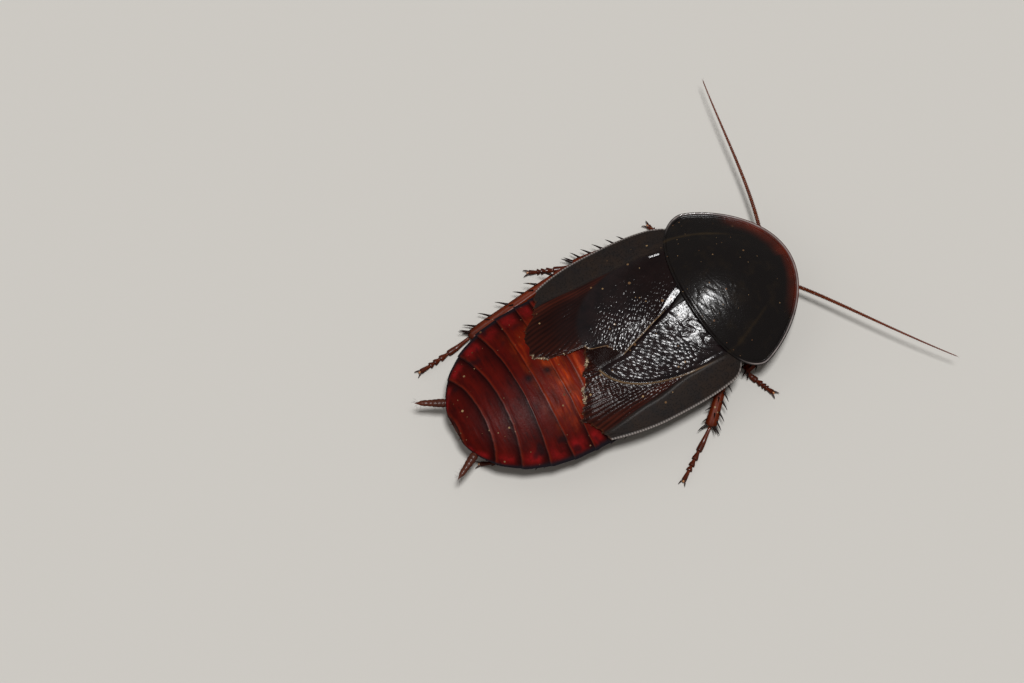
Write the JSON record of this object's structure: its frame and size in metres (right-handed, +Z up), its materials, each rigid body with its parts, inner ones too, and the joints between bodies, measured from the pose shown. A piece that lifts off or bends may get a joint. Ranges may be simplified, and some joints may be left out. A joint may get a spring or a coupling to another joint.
{
  "type": "neorhicnoda maronensis cockroach, adult male, still museum model",
  "caption": "Life-size ground cockroach standing on its feet: domed head shield, worn overlapping forewings, banded abdomen, spiny legs, long feelers.",
  "frame": {"origin": "on the floor under the middle of the whole animal's box, feelers and feet included", "axes": "+Z up from the floor, -Y the way the head faces, +X to the animal's left"},
  "size_m": [0.0252, 0.0332, 0.006],
  "materials": {
    "shell_black": "near-black horny shell, satin gloss, finely pitted, raised pale rim",
    "wing_black": "black leathery forewing, coarsely wrinkled, sparkling highlights, torn tan edges",
    "abdomen_maroon": "deep maroon glossy plates with orange-red translucent rear bands",
    "leg_mahogany": "glossy mahogany shell with black-brown spines",
    "foot_red_brown": "red-brown glossy foot joints with paler pads",
    "feeler_amber": "orange-brown, finely ringed and downy",
    "head_dark": "dark red-brown glossy shell",
    "eye_black": "black, very glossy, finely faceted",
    "thorax_brown": "dark brown glossy plates under the body",
    "cercus_red_brown": "red-brown, ringed and hairy"
  },
  "bodies": {
    "root": {"abdomen": "abdomen_maroon", "antenna_left": "feeler_amber", "antenna_right": "feeler_amber", "cercus_left": "cercus_red_brown", "cercus_right": "cercus_red_brown", "coxa_front_left": "leg_mahogany", "coxa_front_right": "leg_mahogany", "coxa_hind_left": "leg_mahogany", "coxa_hind_right": "leg_mahogany", "coxa_mid_left": "leg_mahogany", "coxa_mid_right": "leg_mahogany", "eye_left": "eye_black", "eye_right": "eye_black", "femur_front_left": "leg_mahogany", "femur_front_right": "leg_mahogany", "femur_hind_left": "leg_mahogany", "femur_hind_right": "leg_mahogany", "femur_mid_left": "leg_mahogany", "femur_mid_right": "leg_mahogany", "head": "head_dark", "pronotum": "shell_black", "tarsus_front_left": "foot_red_brown", "tarsus_front_right": "foot_red_brown", "tarsus_hind_left": "foot_red_brown", "tarsus_hind_right": "foot_red_brown", "tarsus_mid_left": "foot_red_brown", "tarsus_mid_right": "foot_red_brown", "tegmen_left": "wing_black", "tegmen_right": "wing_black", "thorax": "thorax_brown", "tibia_front_left": "leg_mahogany", "tibia_front_right": "leg_mahogany", "tibia_hind_left": "leg_mahogany", "tibia_hind_right": "leg_mahogany", "tibia_mid_left": "leg_mahogany", "tibia_mid_right": "leg_mahogany"}
  },
  "joints": []
}
